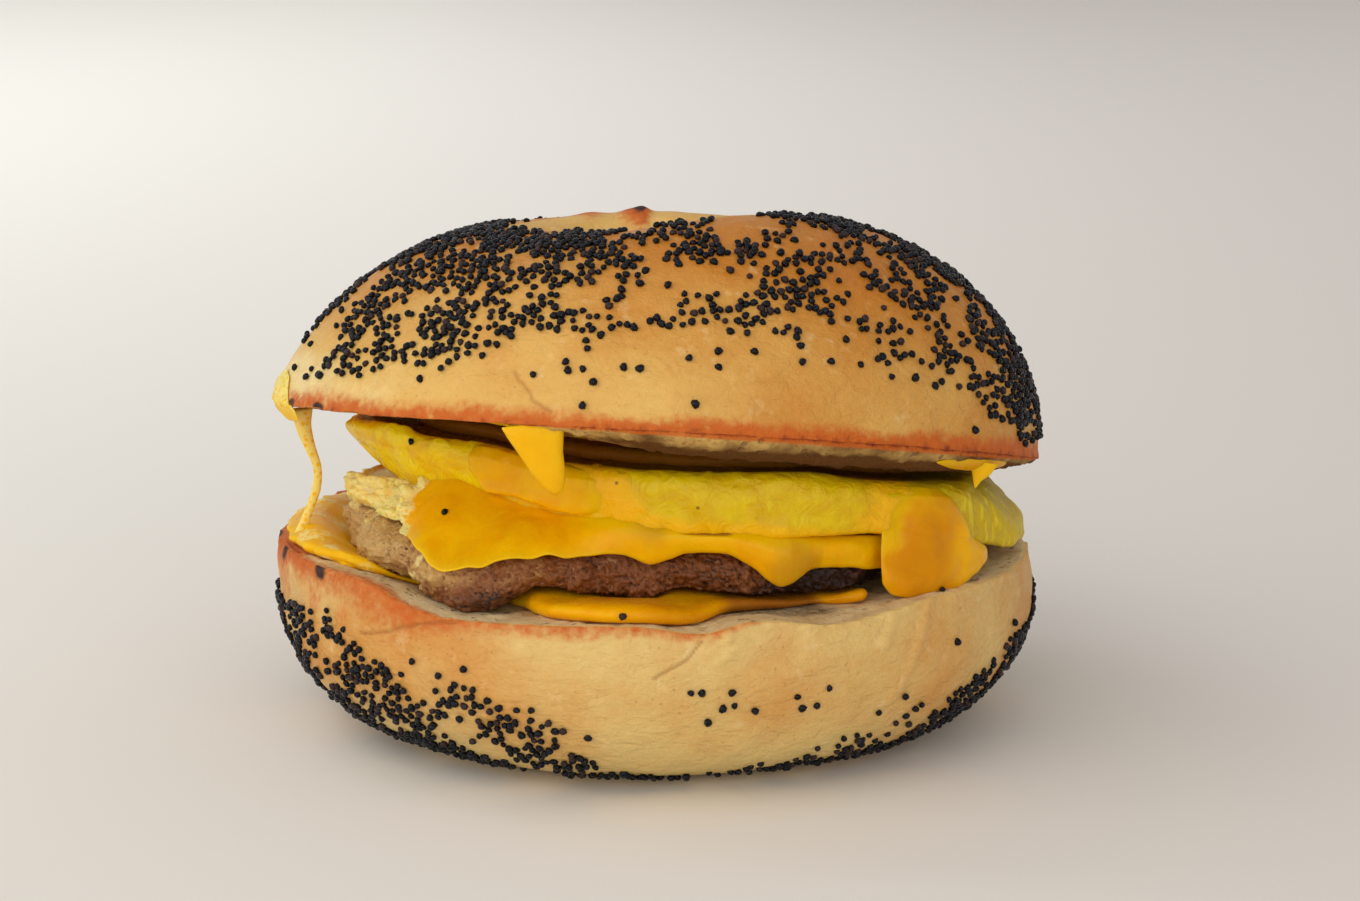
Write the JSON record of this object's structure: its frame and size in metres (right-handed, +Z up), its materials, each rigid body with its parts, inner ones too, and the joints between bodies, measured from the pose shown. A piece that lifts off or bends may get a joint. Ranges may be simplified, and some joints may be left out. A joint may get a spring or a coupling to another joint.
{
  "type": "poppy seed bagel sandwich with sausage patty, omelette and melted cheese",
  "caption": "Toasted poppy seed bagel filled with a sausage patty, a folded omelette and melted cheese that drips over the edge and pulls into a string.",
  "frame": {"origin": "on the table under the middle of the bagel's lower half, at the bottom centre of the bounding box", "axes": "+X towards the end where the crown hangs low and the cheese tongue drips, -Y towards the open front, +Z up"},
  "size_m": [0.109, 0.1086, 0.0738],
  "materials": {
    "crust": "satin baked crust",
    "cheese": "glossy melted cheese",
    "sausage": "rough browned meat",
    "egg": "moist folded egg"
  },
  "bodies": {
    "root": {"bagel_base": "crust", "cheese_lower": "cheese", "sausage_patty": "sausage", "cheese_middle": "cheese", "egg_omelette": "egg", "cheese_upper": "cheese", "cheese_under_crown": "cheese", "cheese_smear": "cheese", "cheese_string": "cheese", "bagel_crown": "crust"}
  },
  "joints": []
}
